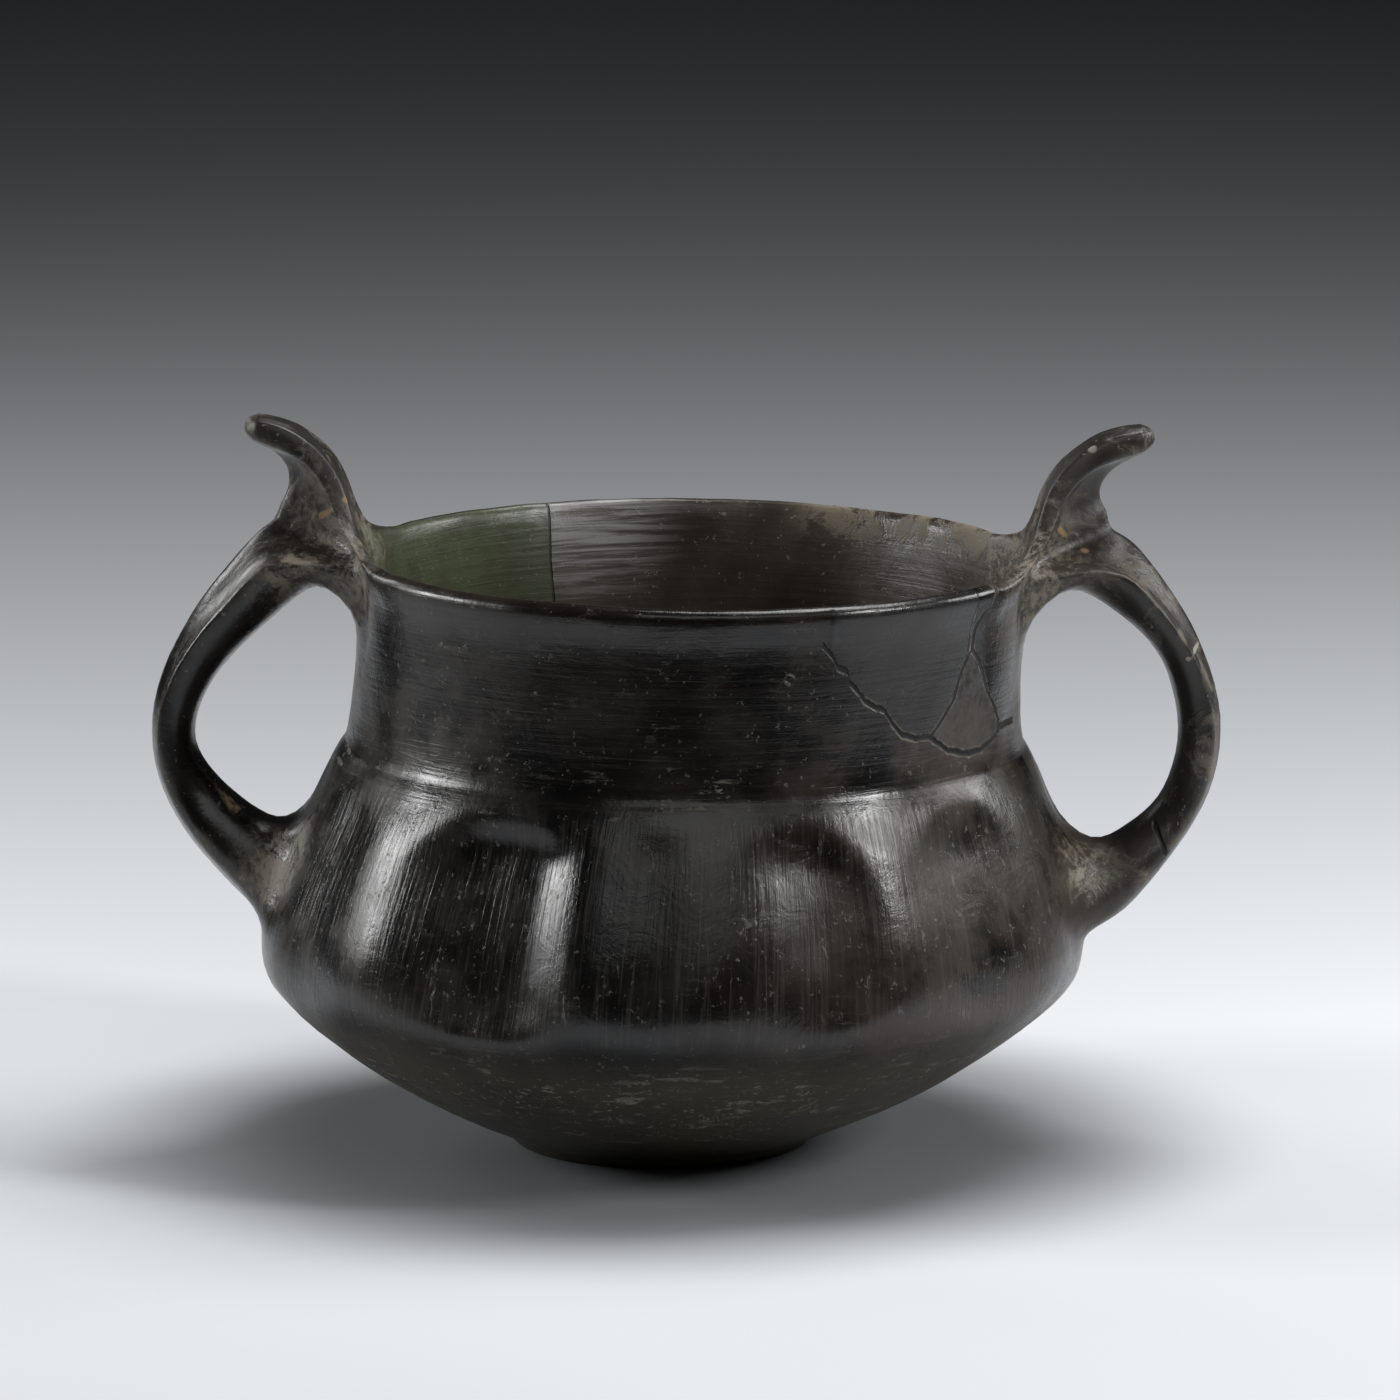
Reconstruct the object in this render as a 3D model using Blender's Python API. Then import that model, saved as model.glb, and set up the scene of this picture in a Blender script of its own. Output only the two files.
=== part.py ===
"""Two-handled fluted bowl of black burnished clay, built as one solid.

The bowl is a round wall with a small flat foot, a wide fluted belly, a short upright neck and a thin lip. A strap
handle stands on each side, and a horn rises over each handle from the lip. Metres, +Z up, the origin under the
centre of the foot, the handles along X and the front towards -Y.

The whole skin is one coarse cage of four-sided faces, smoothed once, so that every joint between wall, handle and
horn is a soft clay fillet. The flutes are pressed into the smooth wall afterwards.
"""

import math

import bmesh
import bpy
import numpy as np
from mathutils import Vector

# Driving sizes of the body
RIM_HEIGHT = 0.1553
RIM_RADIUS = 0.0902
NECK_RADIUS = 0.0876
NECK_HEIGHT = 0.1240
BELLY_RADIUS = 0.1081
BELLY_HEIGHT = 0.0540
FOOT_RADIUS = 0.0412
FOOT_HEIGHT = 0.0018
WALL = 0.0055
FLOOR = 0.0065
LIP_THICKNESS = 0.0044

# The real bowl was built by eye: its rim stands to the right of its foot, and dips on the right
LEAN = 0.0087
RIM_DIP = 0.0011

# Flutes: the ridges beside them by azimuth, in degrees from the front towards +X
FRONT_RIDGES = (-76, -50, -17, 3, 33, 66)
REAR_RIDGES = (114, 145, 176, 207, 238, 256)
FLUTE_DEPTH = 0.0054
FLUTE_FULL_WIDTH = 30
FLUTE_BOTTOM = 0.0425
FLUTE_TOP = 0.1020
FLUTE_ARCH = 0.0100
FLUTE_FADE = 0.0140
FLUTE_LEDGE = 0.0110
FLUTE_THROUGH = 0.75

# Handles: half their spread on the wall, their reach from the neck and their lowest point on the wall
ROOT_HALF_ANGLE = 12
HANDLE_REACH = 0.0520
HANDLE_FOOT = 0.0540
HANDLE_SPREAD = 0.0185
HANDLE_HALF_WIDTH = 0.0098
RIGHT_DROP = 0.0045

# Horns: half their spread on the lip, their height over it and their reach over the handle
HORN_HALF_ANGLE = 22
HORN_HEIGHT = 0.0375
HORN_REACH = 0.0345
HORN_BLADE = 0.0050
HORN_HALF_WIDTH = 0.0220
HORN_TIP_HALF_WIDTH = 0.0066

# Cage: the usual step between two columns of the wall, in degrees
COLUMN_STEP = 12.5

# The handle on +X and the one on -X, by azimuth
SIDE_AZIMUTHS = {1: 90, -1: 270}

FLUTES = [*zip(FRONT_RIDGES, FRONT_RIDGES[1:]), *zip(REAR_RIDGES, REAR_RIDGES[1:])]

CLAY = (0.028, 0.026, 0.024, 1.0)


def clear_scene():
    for obj in list(bpy.data.objects):
        bpy.data.objects.remove(obj, do_unlink=True)


def between(low, high, share):
    return low + (high - low) * share


def smoothstep(value):
    value = min(1.0, max(0.0, value))
    return value * value * (3 - 2 * value)


def spline(points, share):
    """A point on the smooth curve through the given points, share 0 at the first and 1 at the last."""
    place = share * (len(points) - 1)
    first = min(int(place), len(points) - 2)
    t = place - first
    ends = [Vector(points[min(max(first + k, 0), len(points) - 1)]) for k in (-1, 0, 1, 2)]
    a, b, c, d = ends
    if first == 0:
        a = 2 * b - c
    if first == len(points) - 2:
        d = 2 * c - b
    return 0.5 * (2 * b + (c - a) * t + (2 * a - 5 * b + 4 * c - d) * t**2 + (3 * b - a - 3 * c + d) * t**3)


def outer_profile():
    """Radius and height of each row of the outer wall, from the foot to the edge of the lip.

    Each stretch is given by shares of the way from one driving radius and height to the next.
    """
    lower = [(0.057, 0.042), (0.33, 0.207), (0.62, 0.43), (0.87, 0.685), (0.984, 0.866)]
    shoulder = [(0.00, 0.05), (0.21, 0.27), (0.47, 0.47), (0.71, 0.62), (0.87, 0.74), (0.96, 0.86)]
    neck = [(0.00, 0.00), (0.08, 0.41), (0.38, 0.71)]
    rows = [(FOOT_RADIUS * 0.82, 0.0), (FOOT_RADIUS * 0.96, 0.0), (FOOT_RADIUS, FOOT_HEIGHT)]
    rows += [(between(FOOT_RADIUS, BELLY_RADIUS, r), between(FOOT_HEIGHT, BELLY_HEIGHT, z)) for r, z in lower]
    rows += [(between(BELLY_RADIUS, NECK_RADIUS, r), between(BELLY_HEIGHT, NECK_HEIGHT, z)) for r, z in shoulder]
    rows += [(between(NECK_RADIUS, RIM_RADIUS, r), between(NECK_HEIGHT, RIM_HEIGHT, z)) for r, z in neck]
    rows += [(RIM_RADIUS, RIM_HEIGHT - LIP_THICKNESS * 0.4)]
    return rows


# The row of the outer wall at the lip, those that the handle roots stand on, and those that the inner wall follows
LIP_ROW = 17
NECK_ROOT_ROWS = (15, 16, 17)
BELLY_ROOT_ROWS = (8, 9, 10)
INNER_ROWS = (16, 14, 12, 10, 9, 7, 5)


def inner_profile(outer):
    """Rows of the inner wall, from the lip down to the floor, one wall thickness inside the outer wall."""
    rows = [(RIM_RADIUS - LIP_THICKNESS, RIM_HEIGHT)]
    for row in INNER_ROWS:
        below, here, above = (Vector(outer[row + k]) for k in (-1, 0, 1))
        along = (above - below).normalized()
        rows.append(tuple(here + Vector((-along.y, along.x)) * WALL))
    rows.append((FOOT_RADIUS * 0.55, FLOOR))
    return rows


def column_azimuths():
    """Azimuths of the wall's columns, in degrees, with one on each ridge and evenly spread ones between."""
    fixed = {edge for flute in FLUTES for edge in flute if abs(abs(edge % 360 - 180) - 90) > HORN_HALF_ANGLE + 4}
    for centre in SIDE_AZIMUTHS.values():
        fixed |= {centre + ROOT_HALF_ANGLE * k / 2 for k in range(-2, 3)}
        fixed |= {centre - HORN_HALF_ANGLE, centre + HORN_HALF_ANGLE}
    fixed = sorted({azimuth % 360 for azimuth in fixed})
    columns = []
    for low, high in zip(fixed, fixed[1:] + [fixed[0] + 360]):
        parts = max(1, round((high - low) / COLUMN_STEP))
        columns += [between(low, high, part / parts) % 360 for part in range(parts)]
    return columns


def on_wall(radius, height, azimuth):
    angle = math.radians(azimuth)
    return Vector((radius * math.sin(angle), -radius * math.cos(angle), height))


def handle_ring(side, share):
    """Twelve points round the strap of a handle, in the order of a root's edge, share 0 at the lip and 1 at the belly.

    The gap's edge and the handle's back are two smooth curves. Both are given in shares: across, of the handle's
    reach from the neck, and up, of its height from its foot on the belly to the rim.
    """
    gap = [(0.16, 0.905), (0.550, 0.742), (0.760, 0.545), (0.620, 0.398), (0.330, 0.302)]
    if side > 0:
        gap = [(0.16, 0.918), (0.585, 0.795), (0.757, 0.565), (0.631, 0.372), (0.330, 0.306)]
    back = [(0.510, 1.045), (0.825, 0.834), (1.000, 0.556), (0.850, 0.300), (0.480, 0.090)]
    drop = RIGHT_DROP * share**2 if side > 0 else 0.0

    def place(curve):
        across, up = spline(curve, share)
        height = between(HANDLE_FOOT, RIM_HEIGHT, up) - drop
        return Vector((NECK_RADIUS + HANDLE_REACH * across + drop * 0.6, 0.0, height))

    inner, outer = place(gap), place(back)
    spread = between(HANDLE_SPREAD, HANDLE_HALF_WIDTH, smoothstep(share / 0.5))
    spread += (HANDLE_SPREAD - HANDLE_HALF_WIDTH) * 0.7 * smoothstep((share - 0.7) / 0.3)
    edge = between(0.66, 0.80, smoothstep(share / 0.5))
    flank = between(0.72, 0.93, smoothstep(share / 0.5))
    front = [(-0.72, 0.13), (-0.36, 0.03), (0.0, 0.0), (0.36, 0.03), (0.72, 0.13), (1.0, 0.42)]
    rear = [(1.0, edge), (0.5, flank), (0.0, 1.0), (-0.5, flank), (-1.0, edge), (-1.0, 0.42)]
    ring = []
    for across, through in front + rear:
        point = inner.lerp(outer, through)
        point.y = spread * across
        ring.append(Vector((side * point.x, point.y, point.z)))
    return ring


def horn_ring(side, share):
    """Fourteen points round a horn: seven along its back from front to rear, then seven along its bowl side.

    The bowl side and the crest of the web behind it are two smooth curves, in shares of the horn's reach and height.
    """
    face = [(0.05, 0.07), (0.10, 0.23), (0.155, 0.43), (0.28, 0.65), (0.55, 0.855), (0.88, 0.925)]
    crest = [(0.67, 0.31), (0.62, 0.40), (0.60, 0.505), (0.665, 0.62), (0.81, 0.725), (0.945, 0.80)]
    start = Vector((RIM_RADIUS - LIP_THICKNESS * 1.25, 0.0, RIM_HEIGHT))

    def place(curve):
        across, up = spline(curve, share)
        return start + Vector((HORN_REACH * across, 0.0, HORN_HEIGHT * up))

    inner, outer = place(face), place(crest)
    half_width = between(HORN_HALF_WIDTH, HORN_TIP_HALF_WIDTH, math.sqrt(share))
    blade = min(0.5, HORN_BLADE / (outer - inner).length)
    flank, rib = between(blade, 0.85, share**2), between(between(blade, 1.0, 0.35), 0.97, share**2)
    ring_shares = [(-1.0, blade), (-0.64, flank), (-0.3, rib), (0.0, 1.0)]
    ring_shares += [(-across, through) for across, through in reversed(ring_shares[:3])]
    back, bowl_side = [], []
    for across, through in ring_shares:
        y = half_width * across
        sag = y * y / (2 * RIM_RADIUS) * (1 - share)
        point = inner.lerp(outer, through)
        back.append(Vector((side * (point.x - sag), y, point.z)))
        bowl_side.append(Vector((side * (inner.x - sag), y, inner.z)))
    return back, bowl_side


def web_point(side, azimuth, lip):
    """The lip's outer edge over a handle, drawn out and up to the web that joins horn and strap."""
    off_centre = abs(azimuth - SIDE_AZIMUTHS[side]) / ROOT_HALF_ANGLE
    pull = (1 - off_centre) ** 1.5
    web = Vector((side * (NECK_RADIUS + HANDLE_REACH * 0.42), 0.0, RIM_HEIGHT + HORN_HEIGHT * 0.24))
    return lip.lerp(web, pull)


class Cage:
    """The coarse skin of the bowl, built row by row in a bmesh."""

    def __init__(self):
        self.bm = bmesh.new()
        self.creases = []

    def vertex(self, point):
        return self.bm.verts.new(point)

    def face(self, corners):
        self.bm.faces.new(corners)

    def bridge(self, first, second):
        """Faces between two loops with the same number of points."""
        for k in range(len(first)):
            after = (k + 1) % len(first)
            self.face((first[k], first[after], second[after], second[k]))


def root_loop(rows, columns, low, mid, high, handle_low_first):
    """The twelve vertices round a handle root, starting on the gap's side, from front to rear and back."""
    first, last = columns[0], columns[-1]
    gap_row, back_row = (low, high) if handle_low_first else (high, low)
    loop = [rows[gap_row][c] for c in columns] + [rows[mid][last]]
    loop += [rows[back_row][c] for c in reversed(columns)] + [rows[mid][first]]
    return loop


def build_cage():
    """The coarse skin and the edges of the straps, which stay sharper than the rest."""
    cage = Cage()
    azimuths = column_azimuths()
    count = len(azimuths)
    outer = outer_profile()
    inner = inner_profile(outer)
    profile = outer + inner
    rows = []
    for row, (radius, height) in enumerate(profile):
        points = [on_wall(radius, height, azimuth) for azimuth in azimuths]
        if row == LIP_ROW:
            for c, azimuth in enumerate(azimuths):
                side = 1 if azimuth < 180 else -1
                if abs(abs(azimuth - 180) - 90) < ROOT_HALF_ANGLE:
                    points[c] = web_point(side, azimuth, points[c])
        rows.append([cage.vertex(point) for point in points])

    def columns_near(side, half_angle):
        near = [c for c in range(count) if abs(azimuths[c] - SIDE_AZIMUTHS[side]) <= half_angle + 0.01]
        return near if side > 0 else near[::-1]

    open_faces = set()
    for side in (1, -1):
        root = columns_near(side, ROOT_HALF_ANGLE)
        horn = columns_near(side, HORN_HALF_ANGLE)
        for low in (*BELLY_ROOT_ROWS[:2], *NECK_ROOT_ROWS[:2]):
            open_faces |= {(low, min(pair)) for pair in zip(root, root[1:])}
        open_faces |= {(LIP_ROW, min(pair)) for pair in zip(horn, horn[1:])}

        loops = [root_loop(rows, root, *NECK_ROOT_ROWS, handle_low_first=True)]
        stations = 8
        for k in range(stations):
            loops.append([cage.vertex(point) for point in handle_ring(side, k / (stations - 1))])
        loops.append(root_loop(rows, root, *BELLY_ROOT_ROWS, handle_low_first=False))
        for first, second in zip(loops, loops[1:]):
            cage.bridge(first, second)
        for first, second in zip(loops[:5], loops[1:6]):
            cage.creases += [(first[6], second[6]), (first[10], second[10])]

        back, bowl_side = [rows[LIP_ROW][c] for c in horn], [rows[LIP_ROW + 1][c] for c in horn]
        steps = 6
        for k in range(steps):
            next_back, next_bowl_side = horn_ring(side, k / (steps - 1))
            next_back = [cage.vertex(point) for point in next_back]
            next_bowl_side = [cage.vertex(point) for point in next_bowl_side]
            cage.bridge(back + bowl_side[::-1], next_back + next_bowl_side[::-1])
            back, bowl_side = next_back, next_bowl_side
        for j in range(len(back) - 1):
            cage.face((back[j], back[j + 1], bowl_side[j + 1], bowl_side[j]))

    for low in range(len(rows) - 1):
        for c in range(count):
            if (low, c) not in open_faces:
                after = (c + 1) % count
                cage.face((rows[low][c], rows[low][after], rows[low + 1][after], rows[low + 1][c]))
    cage.face(rows[0])
    cage.face(rows[-1])
    bmesh.ops.recalc_face_normals(cage.bm, faces=cage.bm.faces[:])
    return cage


def subdivided(mesh, levels):
    """A new mesh: this one after Catmull-Clark smoothing."""
    obj = bpy.data.objects.new("smoothing", mesh)
    bpy.context.scene.collection.objects.link(obj)
    smoothing = obj.modifiers.new("Smooth clay", "SUBSURF")
    smoothing.levels = smoothing.render_levels = levels
    bpy.context.view_layer.update()
    evaluated = obj.evaluated_get(bpy.context.evaluated_depsgraph_get())
    made = bpy.data.meshes.new_from_object(evaluated)
    bpy.data.objects.remove(obj)
    return made


def coordinates(mesh, count=None):
    points = np.empty(len(mesh.vertices) * 3)
    mesh.vertices.foreach_get("co", points)
    return points.reshape(-1, 3)[:count]


def smooth_skin(cage, rounds=2):
    """The cage smoothed once, after pushing its points out by what the smoothing takes off them."""
    crease = cage.bm.edges.layers.float.new("crease_edge")
    for first, second in cage.creases:
        cage.bm.edges.get((first, second))[crease] = 0.5
    mesh = bpy.data.meshes.new("cage")
    cage.bm.to_mesh(mesh)
    cage.bm.free()
    wanted = coordinates(mesh)
    flat = np.abs(wanted[:, 2]) < 1e-6
    for _ in range(rounds):
        smoothed = coordinates(subdivided(mesh, 1), len(wanted))
        moved = coordinates(mesh) + (wanted - smoothed)
        moved[flat] = wanted[flat]
        mesh.vertices.foreach_set("co", moved.ravel())
        mesh.update()
    return subdivided(mesh, 1)


def flute_depth(azimuth, height):
    """How deep the flutes are pressed at this azimuth, in degrees, and height."""
    for low, high in FLUTES:
        across = ((azimuth - low) % 360) / (high - low)
        if across >= 1:
            continue
        off_centre = 2 * across - 1
        arch = FLUTE_ARCH * off_centre**2
        press = FLUTE_DEPTH * min(1.0, (high - low) / FLUTE_FULL_WIDTH)
        fade = smoothstep((FLUTE_TOP - arch - height) / FLUTE_FADE)
        ledge = smoothstep((height - FLUTE_BOTTOM - arch * 0.7) / FLUTE_LEDGE)
        return press * math.sin(math.pi * across) ** 1.4 * fade * ledge
    return 0.0


def press_flutes(mesh):
    """Moves the belly's skin inwards along the flutes, the inner wall by a share of it."""
    outer = outer_profile()
    heights = [height for _, height in outer]
    radii = [radius for radius, _ in outer]
    for vertex in mesh.vertices:
        x, y, z = vertex.co
        radius = math.hypot(x, y)
        depth = flute_depth(math.degrees(math.atan2(x, -y)), z)
        if depth == 0.0:
            continue
        middle = np.interp(z, heights, radii) - WALL * 0.6
        moved = radius - depth * (1.0 if radius > middle else FLUTE_THROUGH)
        vertex.co = (x * moved / radius, y * moved / radius, z)


def lean_and_dip(mesh):
    """Shifts each height towards the right, and lets the upper half dip towards the right."""
    for vertex in mesh.vertices:
        x, y, z = vertex.co
        up = z / RIM_HEIGHT
        vertex.co = (x + LEAN * up, y, z - RIM_DIP * x / RIM_RADIUS * smoothstep(up))


def clay_material():
    clay = bpy.data.materials.new("black_clay")
    clay.use_nodes = True
    shader = clay.node_tree.nodes["Principled BSDF"]
    shader.inputs["Base Color"].default_value = CLAY
    shader.inputs["Roughness"].default_value = 0.32
    shader.inputs["Metallic"].default_value = 0.0
    return clay


def make_bowl():
    mesh = smooth_skin(build_cage())
    press_flutes(mesh)
    lean_and_dip(mesh)
    mesh.name = "bowl"
    mesh.shade_smooth()
    mesh.materials.clear()
    mesh.materials.append(clay_material())
    bowl = bpy.data.objects.new("bowl", mesh)
    bpy.context.scene.collection.objects.link(bowl)


clear_scene()
make_bowl()
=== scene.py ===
# %% [markdown]
# # A fluted bowl of black clay with two horned handles
#
# The real bowl was built up by hand from coils of dark clay. Its belly was pressed in with broad flutes, two strap
# handles were luted on, a horn was drawn out of the lip over each of them, and the skin was burnished with a smooth
# stone before it was fired black. This lesson models it as one skin of clay and then gives it that burnished finish.
# It starts by loading the plain solid that the bowl has to match, and keeps the box that solid fills.

# %% Load the plain solid
import math

import bmesh
import bpy
import numpy as np
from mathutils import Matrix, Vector


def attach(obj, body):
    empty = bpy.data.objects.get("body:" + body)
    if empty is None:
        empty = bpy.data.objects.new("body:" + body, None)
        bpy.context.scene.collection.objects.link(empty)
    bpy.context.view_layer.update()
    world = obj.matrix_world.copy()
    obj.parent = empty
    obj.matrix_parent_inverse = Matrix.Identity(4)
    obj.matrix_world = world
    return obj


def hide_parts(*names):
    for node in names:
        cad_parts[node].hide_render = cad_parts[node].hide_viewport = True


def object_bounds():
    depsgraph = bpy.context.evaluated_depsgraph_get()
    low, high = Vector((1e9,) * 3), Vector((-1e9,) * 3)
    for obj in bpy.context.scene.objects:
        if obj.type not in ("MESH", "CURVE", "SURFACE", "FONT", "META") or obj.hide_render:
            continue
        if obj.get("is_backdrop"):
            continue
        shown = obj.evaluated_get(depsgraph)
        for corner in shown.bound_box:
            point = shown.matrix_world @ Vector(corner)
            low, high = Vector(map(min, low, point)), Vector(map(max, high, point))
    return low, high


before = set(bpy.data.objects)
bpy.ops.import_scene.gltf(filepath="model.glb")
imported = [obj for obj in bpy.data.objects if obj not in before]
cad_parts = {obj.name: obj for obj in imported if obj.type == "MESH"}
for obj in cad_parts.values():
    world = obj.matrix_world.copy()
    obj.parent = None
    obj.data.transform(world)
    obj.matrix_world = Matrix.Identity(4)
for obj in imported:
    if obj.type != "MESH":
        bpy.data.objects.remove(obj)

cad_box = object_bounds()
print("the solid fills", [[round(side, 4) for side in corner] for corner in cad_box])

# %% [markdown]
# ## The camera
#
# The photograph looks slightly down on the bowl from far away, through a long lens, so the rim is a shallow ellipse
# and hardly any perspective shows. A 250 mm lens two and a half metres away gives the same view.

# %% Place the camera
CAMERA_PLACE = (0.010, -2.500, 0.575)
CAMERA_PITCH = 10.4
LENS = 251.5

camera_data = bpy.data.cameras.new("camera")
camera_data.lens = LENS
camera_data.sensor_width = 36
camera = bpy.data.objects.new("camera", camera_data)
camera.location = CAMERA_PLACE
camera.rotation_euler = (math.radians(90 - CAMERA_PITCH), 0, 0)
bpy.context.scene.collection.objects.link(camera)
bpy.context.scene.camera = camera
print("the camera looks down by", CAMERA_PITCH, "degrees")

# %% [markdown]
# ## The sizes of the bowl
#
# A potter thinks of a bowl as a few widths and heights: foot, belly, neck and rim. Everything else is drawn as shares
# of the way from one of them to the next, so the same few numbers carry the whole shape. All are in metres.

# %% Name the sizes
RIM_HEIGHT, RIM_RADIUS = 0.1553, 0.0902
NECK_HEIGHT, NECK_RADIUS = 0.1240, 0.0876
BELLY_HEIGHT, BELLY_RADIUS = 0.0540, 0.1081
FOOT_HEIGHT, FOOT_RADIUS = 0.0018, 0.0412
WALL, FLOOR, LIP_THICKNESS = 0.0055, 0.0065, 0.0044
LEAN, RIM_DIP = 0.0087, 0.0011

HANDLE_REACH, HANDLE_FOOT = 0.0518, 0.0540
HANDLE_SPREAD, HANDLE_HALF_WIDTH = 0.0185, 0.0098
RIGHT_DROP = 0.0045
HORN_HEIGHT, HORN_REACH, HORN_BLADE = 0.0370, 0.0343, 0.0056
HORN_HALF_WIDTH, HORN_TIP_HALF_WIDTH = 0.0220, 0.0066

COLUMNS = 60
ROOT_HALF_ANGLE = 12
SIDE_AZIMUTHS = {1: 90, -1: 270}
print("the rim is", 2 * RIM_RADIUS, "m across and", RIM_HEIGHT, "m high")


# %% [markdown]
# ## The wall as a profile
#
# A turned or coiled pot is one line swept round an axis. The outer line runs from the foot up to the lip, and the
# inner one comes back down a wall's thickness inside it. Each row is a corner of a coarse cage, which a Subdivision
# Surface will smooth later, so a few rows are enough.

# %% Draw the profile
def between(low, high, share):
    return low + (high - low) * share


def outer_profile():
    """Radius and height of each row of the outer wall, from the foot to the edge of the lip."""
    lower = [(0.057, 0.042), (0.33, 0.207), (0.62, 0.43), (0.87, 0.685), (0.984, 0.866)]
    shoulder = [(0.00, 0.05), (0.21, 0.27), (0.47, 0.47), (0.725, 0.63), (0.885, 0.72), (0.955, 0.765)]
    neck = [(-0.05, -0.20), (0.08, 0.41), (0.38, 0.71)]
    rows = [(FOOT_RADIUS * 0.82, 0.0), (FOOT_RADIUS * 0.96, 0.0), (FOOT_RADIUS, FOOT_HEIGHT)]
    rows += [(between(FOOT_RADIUS, BELLY_RADIUS, r), between(FOOT_HEIGHT, BELLY_HEIGHT, z)) for r, z in lower]
    rows += [(between(BELLY_RADIUS, NECK_RADIUS, r), between(BELLY_HEIGHT, NECK_HEIGHT, z)) for r, z in shoulder]
    rows += [(between(NECK_RADIUS, RIM_RADIUS, r), between(NECK_HEIGHT, RIM_HEIGHT, z)) for r, z in neck]
    rows += [(RIM_RADIUS, RIM_HEIGHT - LIP_THICKNESS * 0.4)]
    return rows


LIP_ROW = 17
NECK_ROOT_ROWS = (15, 16, 17)
BELLY_ROOT_ROWS = (8, 9, 10)
INNER_ROWS = (16, 14, 12, 10, 9, 7, 5)


def inner_profile(outer):
    """Rows of the inner wall, from the lip down to the floor, one wall thickness inside the outer wall."""
    rows = [(RIM_RADIUS - LIP_THICKNESS, RIM_HEIGHT)]
    for row in INNER_ROWS:
        below, here, above = (Vector(outer[row + step]) for step in (-1, 0, 1))
        along = (above - below).normalized()
        rows.append(tuple(here + Vector((-along.y, along.x)) * WALL))
    rows += [(FOOT_RADIUS * 0.55, FLOOR), (FOOT_RADIUS * 0.25, FLOOR)]
    return rows


OUTER = outer_profile()
PROFILE = OUTER + inner_profile(OUTER)
print(len(OUTER), "rows outside and", len(PROFILE) - len(OUTER), "inside")


# %% [markdown]
# ## Raising the wall
#
# A circle with a filled middle is the foot. Extruding it upwards and resizing it, row after row, raises the wall just
# as a potter does: out to the belly, in to the neck, over the lip and down again inside. The face that is left at the
# end closes the floor, so the mesh is one closed skin from the start.

# %% Extrude the wall from the foot
bpy.ops.object.select_all(action="DESELECT")
bpy.ops.mesh.primitive_circle_add(vertices=COLUMNS, radius=PROFILE[0][0], fill_type="NGON", location=(0, 0, 0))
bowl = bpy.context.object
bowl.name = bowl.data.name = "clay_bowl"
bpy.ops.object.mode_set(mode="EDIT")
bpy.ops.mesh.select_all(action="SELECT")
for (radius, height), (next_radius, next_height) in zip(PROFILE, PROFILE[1:]):
    bpy.ops.mesh.extrude_region_move(TRANSFORM_OT_translate={"value": (0, 0, next_height - height)})
    share = next_radius / radius
    bpy.ops.transform.resize(value=(share, share, 1), center_override=(0, 0, next_height))


def skin():
    """The mesh that is being edited."""
    return bmesh.from_edit_mesh(bpy.context.edit_object.data)


print("the wall has", len(skin().faces), "faces")


# %% [markdown]
# ## Opening the wall for the handles
#
# A handle and its wall are one clay, so the skin has to run from one into the other. The faces under each handle's
# two roots are taken away, and the strap will grow from the edge of that hole. Each face is found by where its middle
# lies.

# %% Open the holes
def azimuth_of(point):
    """Degrees round the bowl from the front, towards +X."""
    return math.degrees(math.atan2(point.x, -point.y)) % 360


def off_side(point, side):
    """Degrees between a point and the middle of a handle."""
    return azimuth_of(point) - SIDE_AZIMUTHS[side]


def outer_radius(height):
    return np.interp(height, [z for _, z in OUTER], [r for r, _ in OUTER])


def take_away(test):
    """Deletes the faces that pass the test, and says how many."""
    bpy.ops.mesh.select_mode(type="FACE")
    bpy.ops.mesh.select_all(action="DESELECT")
    mesh = skin()
    chosen = [face for face in mesh.faces if test(face)]
    for face in chosen:
        face.select_set(True)
    bpy.ops.mesh.delete(type="FACE")
    return len(chosen)


def under_root(face, side, rows):
    middle = face.calc_center_median()
    outside = math.hypot(middle.x, middle.y) > outer_radius(middle.z) - WALL / 2
    level = OUTER[rows[0]][1] < middle.z < OUTER[rows[2]][1]
    return outside and level and abs(off_side(middle, side)) < ROOT_HALF_ANGLE


for side in (1, -1):
    for rows in (NECK_ROOT_ROWS, BELLY_ROOT_ROWS):
        print("took", take_away(lambda face: under_root(face, side, rows)), "faces from a root")


# %% [markdown]
# ## The web under each horn
#
# Behind each horn a thin web of clay joins it to the top of the strap. The lip's outer edge is drawn out and up to it,
# most in the middle of the handle and not at all at its sides.

# %% Draw the lip out to the web
def on_wall(radius, height, azimuth):
    angle = math.radians(azimuth)
    return Vector((radius * math.sin(angle), -radius * math.cos(angle), height))


STEP = 360 / COLUMNS
WEB_REACH = {1: 0.42, -1: 0.46}


def wall_point(row, side, steps):
    """The wall's corner in this row, so many columns from the middle of a handle towards the rear."""
    radius, height = PROFILE[row]
    point = on_wall(radius, height, SIDE_AZIMUTHS[side] + side * steps * STEP)
    if row == LIP_ROW and abs(steps * STEP) < ROOT_HALF_ANGLE:
        web = Vector((side * (NECK_RADIUS + HANDLE_REACH * WEB_REACH[side]), 0.0, RIM_HEIGHT + HORN_HEIGHT * 0.22))
        point = point.lerp(web, (1 - abs(steps * STEP) / ROOT_HALF_ANGLE) ** 1.5)
    return point


def corner_at(point, mesh):
    """The mesh's corner nearest to a point."""
    return min(mesh.verts, key=lambda corner: (corner.co - point).length_squared)


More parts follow.
